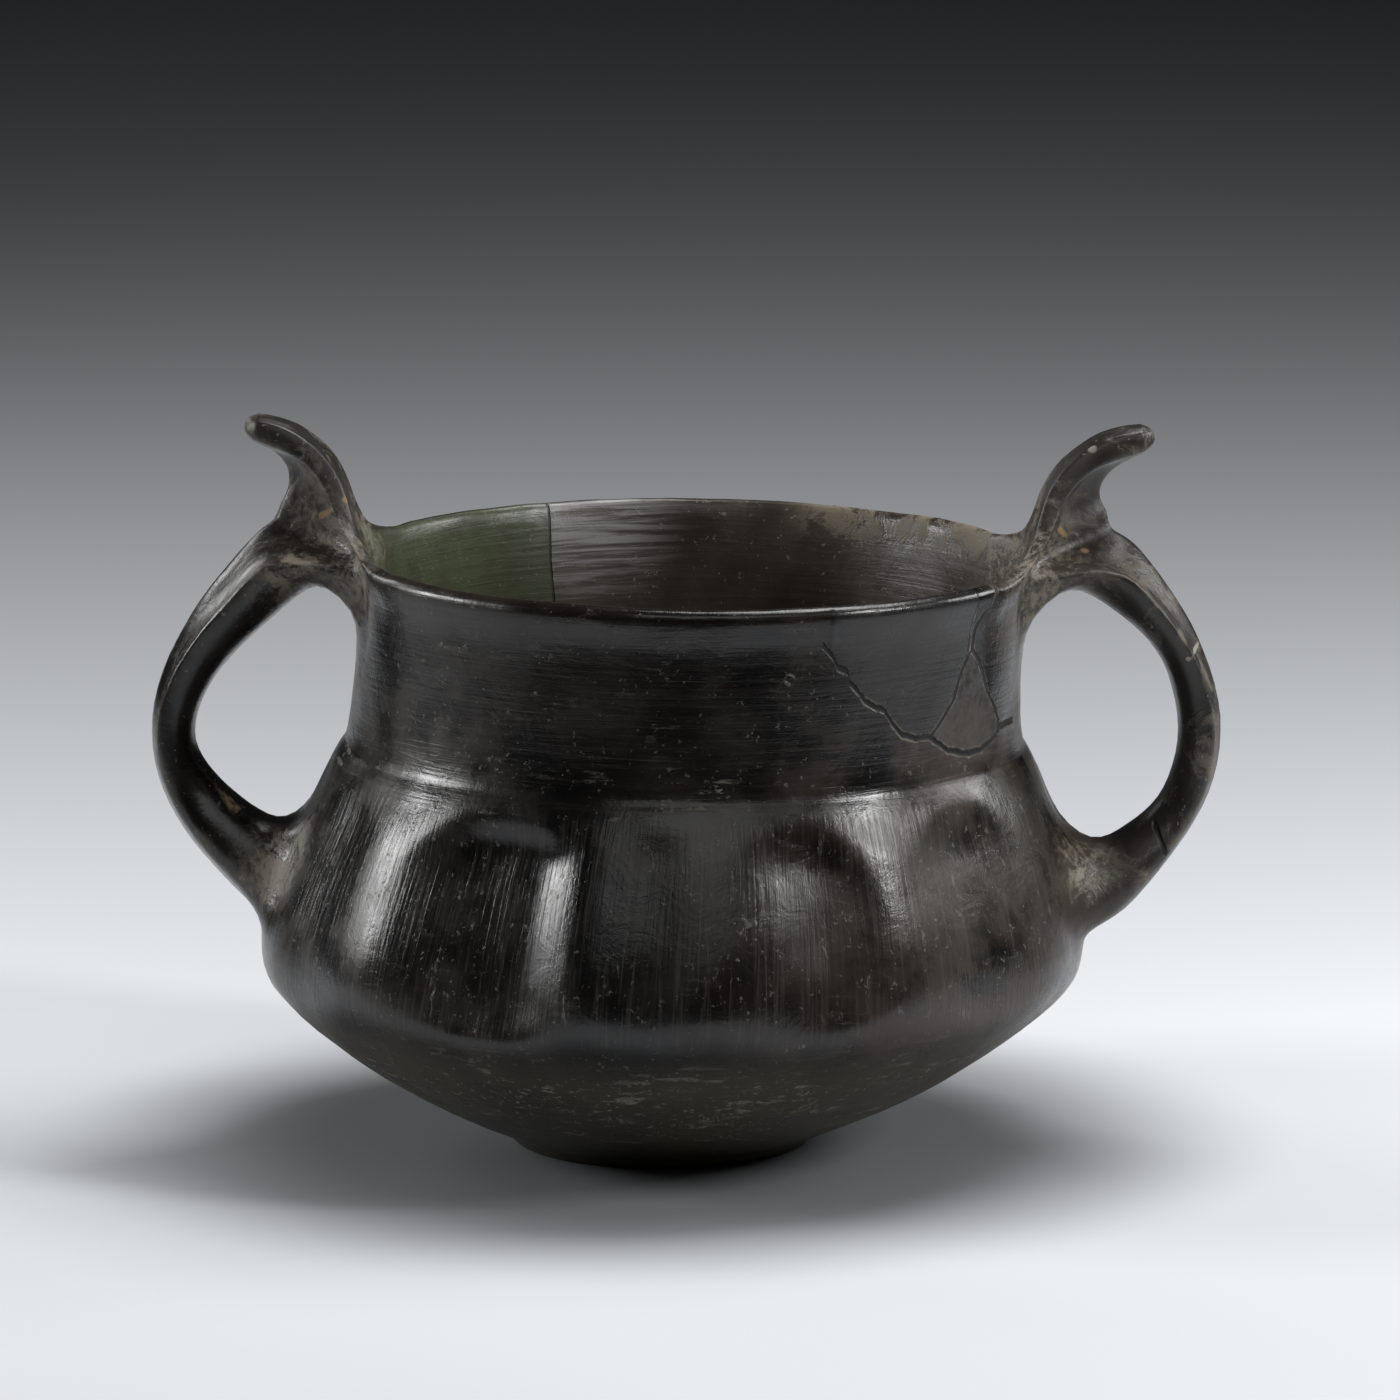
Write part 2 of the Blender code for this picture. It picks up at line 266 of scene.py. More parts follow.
bpy.ops.mesh.select_mode(type="VERT")
for side in (1, -1):
    for steps in (-1, 0, 1):
        radius, height = PROFILE[LIP_ROW]
        bpy.ops.mesh.select_all(action="DESELECT")
        mesh = skin()
        corner = corner_at(on_wall(radius, height, SIDE_AZIMUTHS[side] + side * steps * STEP), mesh)
        corner.select_set(True)
        bpy.ops.transform.translate(value=wall_point(LIP_ROW, side, steps) - corner.co)
print("the right web reaches", round(wall_point(LIP_ROW, 1, 0).x, 4), "m from the middle")


# %% [markdown]
# ## Growing a handle from rings
#
# A strap that changes its section along the way is easiest to build ring by ring. The edge of a hole is extruded, and
# the twelve new corners are dragged to the section of the strap at that place, again and again until the strap has
# come round to its other root. Bridging loose rings would be shorter, but it may twist where two rings stand at an
# angle. Two curves guide the rings: the edge of the finger gap and the back of the handle.

# %% Make the tools for rings
def smoothstep(value):
    value = min(1.0, max(0.0, value))
    return value * value * (3 - 2 * value)


def spline(points, share):
    """A point on the smooth curve through the given points, share 0 at the first and 1 at the last."""
    place = share * (len(points) - 1)
    first = min(int(place), len(points) - 2)
    t = place - first
    a, b, c, d = (Vector(points[min(max(first + step, 0), len(points) - 1)]) for step in (-1, 0, 1, 2))
    if first == 0:
        a = 2 * b - c
    if first == len(points) - 2:
        d = 2 * c - b
    return 0.5 * (2 * b + (c - a) * t + (2 * a - 5 * b + 4 * c - d) * t**2 + (3 * b - a - 3 * c + d) * t**3)


def select_between(pairs):
    """Selects the edge between each two points."""
    mesh = skin()
    for first, second in pairs:
        start, end = corner_at(first, mesh), corner_at(second, mesh)
        for edge in start.link_edges:
            if edge.other_vert(start) == end:
                edge.select_set(True)


def select_loop(points):
    select_between(zip(points, points[1:] + points[:1]))


def grow(start, rings):
    """Extrudes a loop of edges to one ring after another. Each new corner starts on the old one that it grew from."""
    bpy.ops.mesh.select_mode(type="EDGE")
    for ring in rings:
        bpy.ops.mesh.select_all(action="DESELECT")
        select_loop(start)
        bpy.ops.mesh.extrude_edges_move()
        mesh = skin()
        grown = [corner for corner in mesh.verts if corner.select]
        for old, new in zip(start, ring):
            corner = min(grown, key=lambda corner: (corner.co - old).length_squared)
            grown.remove(corner)
            corner.co = new
        start = ring


# %% [markdown]
# The real straps are flat towards the finger gap, rounded behind, and wider where they meet the bowl. The two handles
# aren't quite alike, so each has its own gap. The curves hold shares of the handle's reach and of its height.

# %% Draw the section of the strap
STATIONS = 8
STRAP_EDGES = (6, 10)
GAP_CURVES = {
    1: [(0.16, 0.918), (0.585, 0.795), (0.757, 0.565), (0.631, 0.372), (0.330, 0.306)],
    -1: [(0.16, 0.905), (0.550, 0.742), (0.760, 0.545), (0.620, 0.398), (0.330, 0.302)],
}
BACK_CURVE = [(0.510, 1.045), (0.825, 0.834), (1.000, 0.556), (0.850, 0.300), (0.480, 0.090)]


def handle_ring(side, share):
    """Twelve points round the strap, in the order of a root's edge, share 0 at the lip and 1 at the belly."""
    drop = RIGHT_DROP * share**2 if side > 0 else 0.0

    def place(curve):
        across, up = spline(curve, share)
        height = between(HANDLE_FOOT, RIM_HEIGHT, up) - drop
        return Vector((NECK_RADIUS + HANDLE_REACH * across + drop * 0.6, 0.0, height))

    inner, outer = place(GAP_CURVES[side]), place(BACK_CURVE)
    spread = between(HANDLE_SPREAD, HANDLE_HALF_WIDTH, smoothstep(share / 0.5))
    spread += (HANDLE_SPREAD - HANDLE_HALF_WIDTH) * 0.7 * smoothstep((share - 0.7) / 0.3)
    edge = between(0.66, 0.80, smoothstep(share / 0.5))
    flank = between(0.72, 0.93, smoothstep(share / 0.5))
    front = [(-0.72, 0.13), (-0.36, 0.03), (0.0, 0.0), (0.36, 0.03), (0.72, 0.13), (1.0, 0.42)]
    rear = [(1.0, edge), (0.5, flank), (0.0, 1.0), (-0.5, flank), (-1.0, edge), (-1.0, 0.42)]
    ring = []
    for across, through in front + rear:
        point = inner.lerp(outer, through)
        ring.append(Vector((side * point.x, spread * across, point.z)))
    return ring


def root_loop(side, rows, gap_is_low):
    """The twelve corners round the hole of a root, starting on the gap's side."""
    low, mid, high = rows
    gap_row, back_row = (low, high) if gap_is_low else (high, low)
    loop = [wall_point(gap_row, side, steps) for steps in range(-2, 3)] + [wall_point(mid, side, 2)]
    return loop + [wall_point(back_row, side, steps) for steps in range(2, -3, -1)] + [wall_point(mid, side, -2)]


print("each strap has", STATIONS, "rings of", len(handle_ring(1, 0.0)), "points")

# %% [markdown]
# On the real bowl the strap's upper end was pressed on below the lip and its lower end onto the belly. Here the rings
# run the same way, and the last one is the edge of the hole in the belly, where merging the corners closes the skin.

# %% Grow both straps from the neck and join them to the belly
crease_ends = []
for side in (1, -1):
    rings = [handle_ring(side, k / (STATIONS - 1)) for k in range(STATIONS)]
    grow(root_loop(side, NECK_ROOT_ROWS, True), rings + [root_loop(side, BELLY_ROOT_ROWS, False)])
    for first, second in zip(rings[:4], rings[1:5]):
        crease_ends += [(first[edge], second[edge]) for edge in STRAP_EDGES]
bpy.ops.mesh.select_all(action="SELECT")
bpy.ops.mesh.remove_doubles(threshold=1e-6)
print("with its straps the skin has", len(skin().faces), "faces")

# %% [markdown]
# The two edges of the real strap are sharper than the rest of it. A crease makes the Subdivision Surface keep closer
# to an edge there.

# %% Sharpen the edges of the straps
bpy.ops.mesh.select_all(action="DESELECT")
select_between(crease_ends)
bpy.ops.transform.edge_crease(value=0.5)
print("sharpened", len(crease_ends), "edges")


# %% [markdown]
# ## The horns
#
# Each horn is the lip itself, drawn up into a blade that bends outwards over the handle, with a rib behind it. The top
# of the lip is opened into a slot there. The horn is grown from the slot in the same way as the straps. Its tip is
# rounded with three smaller rings and closed with one face.

# %% Draw the section of a horn
HORN_FACES = {
    1: [(0.05, 0.07), (0.095, 0.23), (0.14, 0.43), (0.26, 0.665), (0.52, 0.88), (0.80, 0.945)],
    -1: [(0.05, 0.07), (0.12, 0.23), (0.195, 0.43), (0.31, 0.65), (0.56, 0.865), (0.84, 0.94)],
}
HORN_CRESTS = {
    1: [(0.655, 0.325), (0.60, 0.40), (0.58, 0.49), (0.65, 0.60), (0.775, 0.675), (0.865, 0.725)],
    -1: [(0.715, 0.33), (0.67, 0.40), (0.65, 0.50), (0.69, 0.61), (0.795, 0.685), (0.89, 0.735)],
}


def horn_ring(side, share):
    """Eighteen points round a horn: nine along its back from front to rear, then nine along its bowl side again."""
    face, crest = HORN_FACES[side], HORN_CRESTS[side]
    start = Vector((RIM_RADIUS - LIP_THICKNESS * 1.25, 0.0, RIM_HEIGHT))

    def place(curve):
        across, up = spline(curve, share)
        return start + Vector((HORN_REACH * across, 0.0, HORN_HEIGHT * up))

    inner, outer = place(face), place(crest)
    half_width = between(HORN_HALF_WIDTH, HORN_TIP_HALF_WIDTH, math.sqrt(share))
    blade = min(0.5, HORN_BLADE / (outer - inner).length)
    flank, rib = between(blade, 0.85, share**2), between(between(blade, 1.0, 0.35), 0.97, share**2)
    half = [(-1.0, blade), (-0.78, between(blade, flank, 0.6)), (-0.54, flank), (-0.27, rib)]
    rounding = smoothstep((share - 0.4) / 0.6)
    back, bowl_side = [], []
    for across, through in half + [(0.0, 1.0)] + [(-across, through) for across, through in reversed(half)]:
        y = half_width * across
        sag = y * y / (2 * RIM_RADIUS) * (1 - share)
        bow = 0.5 * math.sqrt(max(1 - across**4, 0.25))
        for points, depth in ((back, between(through, 0.5 + bow, rounding)), (bowl_side, (0.5 - bow) * rounding)):
            point = inner.lerp(outer, depth)
            points.append(Vector((side * (point.x - sag), y, point.z)))
    return back + bowl_side[::-1]


def slot_loop(side):
    """The eighteen corners round the slot in the lip, in the order of a horn's ring."""
    back = [wall_point(LIP_ROW, side, steps) for steps in range(-4, 5)]
    return back + [wall_point(LIP_ROW + 1, side, steps) for steps in range(4, -5, -1)]


def on_loop(face, loop):
    """Whether all the corners of a face lie on a loop."""
    return all(min((corner.co - point).length for point in loop) < 1e-6 for corner in face.verts)


print("the ring of a horn has", len(horn_ring(1, 0.0)), "points")

# %% [markdown]
# The tip of a real horn was rounded between two fingers. Each tip ring is a share of the last ring's size, a little
# further on, so that the end comes out round instead of cut off.

# %% Grow both horns and close their tips
HORN_STATIONS = 6
TIP_RINGS = ((0.89, 0.0016), (0.66, 0.0033), (0.30, 0.0043))
for side in (1, -1):
    print("took", take_away(lambda face: on_loop(face, slot_loop(side))), "faces from the lip")
    rings = [horn_ring(side, k / (HORN_STATIONS - 1)) for k in range(HORN_STATIONS)]
    before, last = rings[-2:]
    middle = sum(last, Vector()) / len(last)
    onwards = (middle - sum(before, Vector()) / len(before)).normalized()
    for size, step in TIP_RINGS:
        rings.append([middle.lerp(point, size) + onwards * step for point in last])
    grow(slot_loop(side), rings)
    bpy.ops.mesh.select_all(action="DESELECT")
    select_loop(rings[-1])
    bpy.ops.mesh.edge_face_add()
bpy.ops.mesh.select_all(action="SELECT")
bpy.ops.mesh.normals_make_consistent(inside=False)
mesh = skin()
open_edges = sum(not edge.is_manifold for edge in mesh.edges)
bpy.ops.object.mode_set(mode="OBJECT")
print("the cage has", len(bowl.data.polygons), "faces and", open_edges, "open edges")


# %% [markdown]
# ## Smoothing the cage into clay
#
# A Subdivision Surface turns the cage into soft clay, but it also pulls every corner inwards, so the smoothed bowl
# would come out small. The cage is first pushed out by just what the smoothing takes off: it is smoothed as a trial,
# the loss at each corner is measured, and the corner is moved by that much. Two rounds of this are close enough. The
# flat floor and the flat underside lose nothing that matters, so their corners stay where they are.

# %% Push the cage out, then smooth it
def coordinates(mesh, count=None):
    points = np.empty(len(mesh.vertices) * 3)
    mesh.vertices.foreach_get("co", points)
    return points.reshape(-1, 3)[:count]


def smoothed(piece, levels):
    """Adds a Subdivision Surface to a piece and applies it."""
    bpy.ops.object.select_all(action="DESELECT")
    piece.select_set(True)
    bpy.context.view_layer.objects.active = piece
    smoothing = piece.modifiers.new("Smooth clay", "SUBSURF")
    smoothing.levels = smoothing.render_levels = levels
    bpy.ops.object.modifier_apply(modifier=smoothing.name)
    return piece


wanted = coordinates(bowl.data)
flat = (wanted[:, 2] < 1e-6) | (np.abs(wanted[:, 2] - FLOOR) < 1e-6)
for _ in range(2):
    trial = bowl.copy()
    trial.data = bowl.data.copy()
    bpy.context.scene.collection.objects.link(trial)
    reached = coordinates(smoothed(trial, 1).data, len(wanted))
    bpy.data.objects.remove(trial)
    moved = coordinates(bowl.data) + (wanted - reached)
    moved[flat] = wanted[flat]
    bowl.data.vertices.foreach_set("co", moved.ravel())
    bowl.data.update()
smoothed(bowl, 2)
print("the smoothed skin has", len(bowl.data.polygons), "faces")

# %% [markdown]
# ## Pressing the flutes
#
# The flutes are broad hollows that were pressed into the soft belly between rounded ridges, most likely with a finger
# from outside and a hand inside. They are pressed into the smoothed skin here: each point moves towards the axis by
# a depth that is read from how far it lies between two ridges and how high it is. The inner wall follows by a share
# of the depth, so the wall keeps its strength. No two flutes are alike, so each has its own row: its left and right
# ridge in degrees, its depth, how much of its width the left and the right flank take, and how far its top comes down
# at the left and at the right, in millimetres.

# %% Press the flutes
FLUTES = [(-76, -50, 0.0020, 0.50, 0.50, 12, 12), (-50, -13, 0.0060, 0.58, 0.28, 17, 3),
          (-13, 5, 0.0014, 0.50, 0.50, 6, 6), (5, 33, 0.0034, 0.60, 0.40, 6, 20), (33, 66, 0.0028, 0.50, 0.50, 12, 12),
          (114, 145, 0.0038, 0.45, 0.45, 12, 14), (145, 176, 0.0042, 0.45, 0.45, 14, 10),
          (176, 207, 0.0036, 0.45, 0.45, 12, 15), (207, 238, 0.0042, 0.45, 0.45, 13, 12),
          (238, 256, 0.0022, 0.50, 0.50, 10, 10)]
FLUTE_BOTTOM, FLUTE_TOP = 0.0400, 0.1030
FLUTE_FADE, FLUTE_LEDGE = 0.0130, 0.0150
FLUTE_THROUGH = 0.75
REAR_SWELL, SWELL_AZIMUTH, SWELL_HEIGHT = 0.0030, 108, 0.092
SWELL_WIDTH, SWELL_RISE = 9, 0.013


def smoothsteps(values):
    values = np.clip(values, 0.0, 1.0)
    return values * values * (3 - 2 * values)


def flute_depths(azimuth, height):
    """How deep the flutes are pressed at these azimuths, in degrees, and heights."""
    aside, above = (azimuth - SWELL_AZIMUTH) / SWELL_WIDTH, (height - SWELL_HEIGHT) / SWELL_RISE
    depths = -REAR_SWELL * np.exp(-(aside**2) - above**2)
    for low, high, press, left, right, left_arch, right_arch in FLUTES:
        across = ((azimuth - low) % 360) / (high - low)
        arch = np.where(across < 0.5, left_arch, right_arch) * 0.001 * (2 * across - 1) ** 2
        fade = smoothsteps((FLUTE_TOP - arch - height) / FLUTE_FADE)
        ledge = smoothsteps((height - FLUTE_BOTTOM - arch * 0.4) / FLUTE_LEDGE)
        flanks = smoothsteps(across / left) * smoothsteps((1 - across) / right)
        depths += np.where(across < 1, press * flanks * fade * ledge, 0.0)
    return depths


points = coordinates(bowl.data)
x, y, z = points.T.copy()
radius = np.hypot(x, y)
depth = flute_depths(np.degrees(np.arctan2(x, -y)), z)
outside = radius > outer_radius(z) - WALL * 0.6
share = (radius - depth * np.where(outside, 1.0, FLUTE_THROUGH)) / np.maximum(radius, 1e-6)
points[:, 0], points[:, 1] = x * share, y * share
print("the deepest flute goes in by", round(float(depth.max()) * 1000, 1), "mm")

# %% [markdown]
# ## The unevenness of a hand-made wall
#
# A glossy surface shows every small hollow, because its reflections bend there. Without them the bowl would look cast.
# A Displace modifier with a soft cloud pattern pushes the skin in by a few tenths of a millimetre, never out, so the
# bowl keeps inside its size. The underside is put back flat afterwards.

# %% Make the skin uneven
HOLLOWS = ((0.030, 0.0009), (0.009, 0.0003))
RESTING_HEIGHT = 0.0006

bowl.data.vertices.foreach_set("co", points.ravel())
bowl.data.update()
resting = points[:, 2] < RESTING_HEIGHT
for size, depth in HOLLOWS:
    clouds = bpy.data.textures.new("uneven_clay", "CLOUDS")
    clouds.noise_scale = size
    uneven = bowl.modifiers.new("Uneven clay", "DISPLACE")
    uneven.texture, uneven.strength, uneven.mid_level = clouds, depth, 1.0
    uneven.texture_coords = "LOCAL"
    bpy.context.view_layer.objects.active = bowl
    bpy.ops.object.modifier_apply(modifier=uneven.name)
smooth_height = points[:, 2].copy()
points = coordinates(bowl.data)
points[resting, 2] = smooth_height[resting]
print("kept", int(resting.sum()), "points of the underside flat")

# %% [markdown]
# Nothing made by hand stands quite true. The real rim lies a little to the right of the foot, and dips there.

# %% Let the bowl lean
x, y, z = points.T.copy()
up = z / RIM_HEIGHT
points[:, 0] = x + LEAN * up
points[:, 2] = z - RIM_DIP * x / RIM_RADIUS * smoothsteps(up)
bowl.data.vertices.foreach_set("co", points.ravel())
bowl.data.update()
bowl.data.shade_smooth()
print("the rim leans", LEAN * 1000, "mm to the right and dips there by", RIM_DIP * 1000, "mm")


# %% [markdown]
# ## A shorthand for shader nodes
#
# A finish is a sum of many small patterns. Wiring each Math node by hand hides the sum, so a small class wraps a
# socket: adding or multiplying two of them adds the node that does it. Every other node comes from one method.

# %% Wrap the shader's sockets
class Pattern:
    """A socket that can be written in a sum."""

    def __init__(self, finish, socket):
        self.finish, self.socket = finish, socket

    def maths(self, operation, *values):
        return self.finish.node("ShaderNodeMath", {"operation": operation}, dict(enumerate(values)))

    def __add__(self, other):
        return self.maths("ADD", self, other)

    def __sub__(self, other):
        return self.maths("SUBTRACT", self, other)

    def __rsub__(self, other):
        return self.maths("SUBTRACT", other, self)

    def __mul__(self, other):
        return self.maths("MULTIPLY", self, other)

    def __truediv__(self, other):
        return self.maths("DIVIDE", self, other)

    def __pow__(self, other):
        return self.maths("POWER", self, other)

    def __rpow__(self, other):
        return self.maths("POWER", other, self)

    __radd__ = __add__
    __rmul__ = __mul__

    def most(self, other):
        return self.maths("MAXIMUM", self, other)

    def least(self, other):
        return self.maths("MINIMUM", self, other)

    def size(self):
        """The value without its sign."""
        return self.maths("ABSOLUTE", self)


class Finish:
    """A material that is built up from patterns."""

    def __init__(self, name):
        self.material = bpy.data.materials.new(name)
        self.material.use_nodes = True
        self.tree = self.material.node_tree
        self.shader = self.tree.nodes["Principled BSDF"]
        self.place = self.node("ShaderNodeTexCoord", output="Object")

    def node(self, kind, settings=None, values=None, output=0):
        """Adds a node, its settings first, and gives one of its outputs."""
        made = self.tree.nodes.new(kind)
        for name, setting in (settings or {}).items():
            if name == "curve":
                self.draw(made.mapping, setting)
            else:
                setattr(made, name, setting)
        for name, value in (values or {}).items():
            self.feed(made.inputs[name], value)
        return Pattern(self, made.outputs[output])

    def draw(self, mapping, stops):
        """Draws straight lines between stops on a curve."""
        line = mapping.curves[0]
        line.points[0].location, line.points[-1].location = stops[0], stops[-1]
        for stop in stops[1:-1]:
            line.points.new(*stop)
        for point in line.points:
            point.handle_type = "VECTOR"
        mapping.update()

    def feed(self, socket, value):
        if isinstance(value, Pattern):
            self.tree.links.new(value.socket, socket)
        else:
            socket.default_value = value

    def set(self, name, value):
        self.feed(self.shader.inputs[name], value)

    def parts(self, vector):
        """The three numbers in a vector."""
        made = self.tree.nodes.new("ShaderNodeSeparateXYZ")
        self.tree.links.new(vector.socket, made.inputs[0])
        return [Pattern(self, output) for output in made.outputs]

    def vector(self, *parts):
        return self.node("ShaderNodeCombineXYZ", None, dict(enumerate(parts)))

    def stretched(self, scale, turn=(0, 0, 0)):
        """The object's own place, scaled and turned."""
        values = {"Vector": self.place, "Rotation": [math.radians(t) for t in turn], "Scale": scale}
        return self.node("ShaderNodeMapping", None, values)

    def noise(self, scale, vector=None, detail=2.0, rough=0.5, warp=0.0):
        values = {"Vector": vector or self.place, "Scale": scale, "Detail": detail}
        values |= {"Roughness": rough, "Distortion": warp}
        return self.node("ShaderNodeTexNoise", None, values)

    def rise(self, value, low, high):
        """0 below low, 1 above high, and smooth between them."""
        values = {"Value": value, "From Min": low, "From Max": high}
        return self.node("ShaderNodeMapRange", {"interpolation_type": "SMOOTHSTEP"}, values)

    def fall(self, value, low, high):
        """1 below low, 0 above high, and smooth between them."""
        values = {"Value": value, "From Min": low, "From Max": high, "To Min": 1.0, "To Max": 0.0}
        return self.node("ShaderNodeMapRange", {"interpolation_type": "SMOOTHSTEP"}, values)

    def colour(self, factor, first, second):
        """A mix of two colours, the second where the factor is 1."""
        first, second = (c if isinstance(c, Pattern) else (*c, 1.0) for c in (first, second))
        return self.node("ShaderNodeMix", {"data_type": "RGBA"}, {0: factor, 6: first, 7: second}, 2)

    def away(self, centre, vector=None):
        """Distance from a point."""
        values = {0: vector or self.place, 1: centre}
        return self.node("ShaderNodeVectorMath", {"operation": "DISTANCE"}, values, "Value")

    def spot(self, centre, size, edge=0.5, vector=None):
        """1 near a point and 0 beyond a distance from it, with a soft edge."""
        return self.fall(self.away(centre, vector), size * (1 - edge), size)

    def traced(self, value, stops):
        """Reads a broken line that is given as pairs: the value, and what the line is there."""
        low, high = stops[0][0], stops[-1][0]
        least, most = (pick(stop[1] for stop in stops) for pick in (min, max))
        curve = [((at - low) / (high - low), (level - least) / (most - least)) for at, level in stops]
        share = (value - low) * (1 / (high - low))
        return self.node("ShaderNodeFloatCurve", {"curve": curve}, {"Value": share}) * (most - least) + least

    def seam(self, start, end, width):
        """1 on the straight line between two points, and 0 beyond a distance from it."""
        start, end = Vector(start), Vector(end)
        along = end - start
        from_start = self.node("ShaderNodeVectorMath", {"operation": "SUBTRACT"}, {0: self.place, 1: start})
        values = {0: from_start, 1: along / along.length_squared}
        share = self.node("ShaderNodeVectorMath", {"operation": "DOT_PRODUCT"}, values, "Value")
        share = share.most(0.0).least(1.0)
        foot = self.node("ShaderNodeVectorMath", {"operation": "SCALE"}, {0: along, "Scale": share})
        away = self.node("ShaderNodeVectorMath", {"operation": "DISTANCE"}, {0: from_start, 1: foot}, "Value")
        return self.fall(away, width * 0.4, width)

    def bump(self, height, distance, normal=None):
        values = {"Height": height, "Distance": distance, "Strength": 1.0}
        if normal:
            values["Normal"] = normal
        return self.node("ShaderNodeBump", None, values)


# %% [markdown]
# ## Burnished black clay
#
# Clay that is rubbed with a stone before firing takes a soft, uneven gloss. The stone leaves fine streaks: level ones
# on the neck, upright ones in the flutes. The smoke of the kiln leaves it black in places and brown in others, and
# long use and burial leave pale grit and scratches.

# %% Build the clay's finish
clay = Finish("burnished_black_clay")
px, py, pz = clay.parts(clay.place)
lean_x = px - pz * (LEAN / RIM_HEIGHT)
reach = (lean_x * lean_x + py * py) ** 0.5
turn = lean_x.maths("ARCTAN2", lean_x, py * -1.0) * (180 / math.pi)
clouds = clay.noise(14, detail=3)
blotches = clay.noise(50, detail=4, rough=0.6)
grain = clay.noise(700, detail=3, rough=0.6)
print("the clay starts with", len(clay.tree.nodes), "nodes")


# %% [markdown]
# Some marks belong to one part of the bowl, such as the handles or the inside, so each part gets a mask: a pattern that
# is 1 there and 0 elsewhere. The inside is where the surface faces the axis, or faces up near the middle. Some marks
# are the same in front of the handles and behind them: the mirrored place folds the back of the bowl onto its front.

# %% Mask the parts of the bowl
FLUTES_START, FLUTES_END = (0.042, 0.048), (0.098, 0.104)
LOWER_END = (0.030, 0.047)

geometry = clay.tree.nodes.new("ShaderNodeNewGeometry")
nx, ny, nz = clay.parts(Pattern(clay, geometry.outputs["Normal"]))
facing_out = (nx * lean_x + ny * py) / reach
beside_neck = clay.rise(reach, 0.099, 0.106) * clay.rise(pz, 0.078, 0.090)
beside_belly, above_lip = clay.rise(reach, 0.1105, 0.116), clay.rise(pz, 0.1555, 0.160)
handles = beside_neck.most(beside_belly).most(above_lip)
body = 1.0 - handles
inside = clay.fall(facing_out, -0.35, 0.05) * clay.fall(reach, 0.098, 0.104) * body
inside = inside.most(clay.rise(nz, 0.35, 0.65) * clay.fall(reach, 0.062, 0.076))
fluted = clay.rise(pz, *FLUTES_START) * clay.fall(pz, *FLUTES_END) * body
lower = clay.fall(pz, *LOWER_END) * (1.0 - inside)
mirrored = clay.vector(px, py.size() * -1.0, pz)
print("with its masks it has", len(clay.tree.nodes), "nodes")

# %% [markdown]
# The burnishing stone was drawn level round the neck, the inside and the lower body, and up and down in the flutes.
# Noise that is stretched along each stroke gives both. Where it follows the turn of the wall it is laid on the unit
# circle, so that it closes behind the bowl without a seam.

# %% Draw the burnish streaks
LEVEL_STROKES, STRAP_STROKES = (28, 28, 620), (160, 420, 120)
STROKES_ROUND, STROKES_UP = 75.0, 26.0

level = clay.noise(1.0, clay.stretched(LEVEL_STROKES), detail=4, rough=0.65, warp=0.6)
around = clay.vector(lean_x / reach * STROKES_ROUND, py / reach * STROKES_ROUND, pz * STROKES_UP)
upright = clay.noise(1.0, around, detail=4, rough=0.62, warp=1.2)
along = clay.noise(1.0, clay.stretched(STRAP_STROKES), detail=3, rough=0.6)
streaks = level + (upright - level) * fluted
streaks = streaks + (along - streaks) * handles
print("with its streaks it has", len(clay.tree.nodes), "nodes")

# %% [markdown]
# The smoke of the kiln left the clay black on the front of the neck, warm brown to the right and olive brown below.
# The greyer brown on the left of the body is a painted reflection.

# %% Mix the ground colour
SOOT, BROWN_SOOT = (0.0020, 0.0018, 0.0017), (0.0115, 0.0088, 0.0068)
WARM_BROWN, LEFT_REFLECTION_BROWN = (0.040, 0.0285, 0.0215), (0.026, 0.022, 0.018)
OLIVE_BROWN, INSIDE_BROWN = (0.058, 0.0490, 0.0300), (0.062, 0.049, 0.038)
HANDLE_BROWN, STREAK_BROWN = (0.034, 0.028, 0.0225), (0.062, 0.053, 0.045)

tone = clay.rise(clouds * 0.55 + blotches * 0.45, 0.40, 0.62)
ground = clay.colour(tone, SOOT, BROWN_SOOT)
warm = clay.rise(lean_x, 0.005, 0.070) * clay.rise(blotches + fluted * 0.08, 0.38, 0.62) * body
ground = clay.colour(warm * 0.85, ground, WARM_BROWN)
# Painted reflection: the left of the body, broken up by blotches, is painted a greyer brown.
left_painted_reflection = clay.fall(lean_x, -0.075, -0.035) * clay.rise(blotches, 0.40, 0.60) * body
ground = clay.colour(left_painted_reflection * 0.7, ground, LEFT_REFLECTION_BROWN)
ground = clay.colour(lower * (0.60 + 0.40 * tone), ground, OLIVE_BROWN)
ground = clay.colour(inside * (0.55 + 0.35 * tone), ground, INSIDE_BROWN)
brown = clay.rise(px, 0.02, 0.06).most(clay.rise(pz, 0.150, 0.165))
ground = clay.colour(handles * brown * (0.45 + 0.4 * tone), ground, HANDLE_BROWN)
streaked = clay.rise(streaks, 0.50, 0.70) * (0.10 + 0.30 * fluted.most(inside).most(warm))
ground = clay.colour(streaked, ground, STREAK_BROWN)
print("with its ground it has", len(clay.tree.nodes), "nodes")

# %% [markdown]
# Burial and handling left pale grit on the clay and scratched it, most of all in a band on the lower body and on the
# ledge above the flutes. Each mark is a threshold on noise, so it stays ragged, and is weighted by where it gathers.

